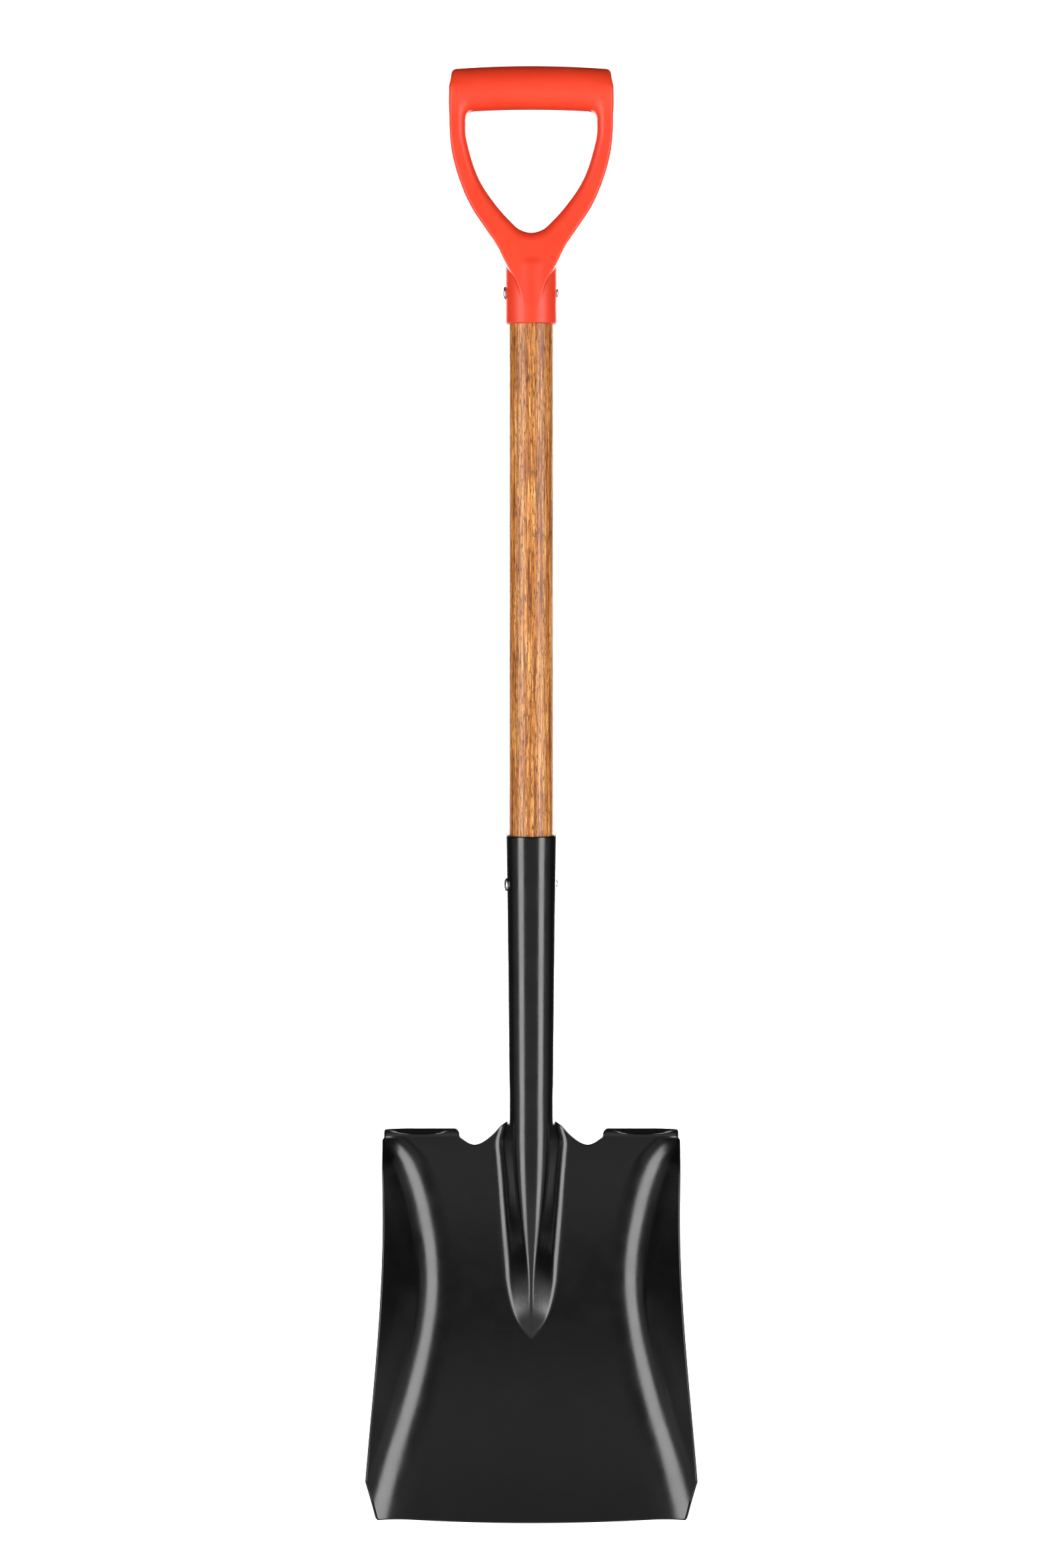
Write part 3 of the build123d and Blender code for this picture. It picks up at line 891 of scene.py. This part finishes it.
STRIP_Z, STRIP_HEIGHT = DATUM_Z + 0.55, 1.9
for name, angle, distance, width, power in (
    ("strip_left", -48, 1.7, 0.74, 33),
    ("strip_right", 48, 1.7, 0.74, 33),
    ("strip_back_left", -158, 2.2, 0.7, 36),
    ("strip_back_right", 158, 2.2, 0.7, 36),
):
    strip_light(name, angle, distance, width, STRIP_HEIGHT, STRIP_Z, power)

# The world's brightness changes with the height that light comes from, and is low behind the tool.
studio = bpy.data.worlds.new("studio")
bpy.context.scene.world = studio
studio.use_nodes = True
wt = studio.node_tree
direction = wt.nodes.new("ShaderNodeSeparateXYZ")
wt.links.new(wt.nodes.new("ShaderNodeTexCoord").outputs["Generated"], direction.inputs[0])
lift = math_node(wt, "MULTIPLY_ADD", direction.outputs[2], 0.5)
lift.node.inputs[2].default_value = 0.5
room = ramp(wt, lift, [
    (0.0, 0.5),
    (0.25, 0.7),
    (0.38, 0.6),
    (0.42, 0.30),
    (0.455, 0.30),
    (0.478, 0.66),
    (0.5, 0.40),
    (0.52, 0.14),
    (0.541, 0.05),
    (0.56, 0.07),
    (0.585, 0.34),
    (0.615, 0.46),
    (0.665, 0.26),
    (0.75, 0.18),
    (0.86, 0.04),
])
side = wt.nodes.new("ShaderNodeMapRange")
for socket, value in zip(list(side.inputs)[1:5], (-0.25, 0.25, 1.0, 0.12)):
    socket.default_value = value
wt.links.new(direction.outputs[1], side.inputs[0])
background = wt.nodes["Background"]
wt.links.new(mix(wt, 1.0, room, side.outputs[0], "MULTIPLY"), background.inputs[0])
background.inputs[1].default_value = 1.3

camera_data = bpy.data.cameras.new("camera")
camera = bpy.data.objects.new("camera", camera_data)
bpy.context.scene.collection.objects.link(camera)
bpy.context.scene.camera = camera
SENSOR = 36.0
# Level camera, in metres: eye level and the picture's middle are above the datum.
DISTANCE, EYE, MIDDLE, VIEW_HEIGHT, ASIDE = 2.5, 0.725, 0.526, 1.115, -0.0062
camera.location = (ASIDE, -DISTANCE, DATUM_Z + EYE)
camera.rotation_euler = (math.pi / 2, 0, 0)
camera_data.sensor_fit = "VERTICAL"
camera_data.sensor_height = SENSOR
camera_data.lens = SENSOR * DISTANCE / VIEW_HEIGHT
camera_data.shift_y = (MIDDLE - EYE) / VIEW_HEIGHT
camera_data.clip_end = 20

bpy.context.scene.view_settings.view_transform = "Standard"
bpy.context.scene.view_settings.look = "None"
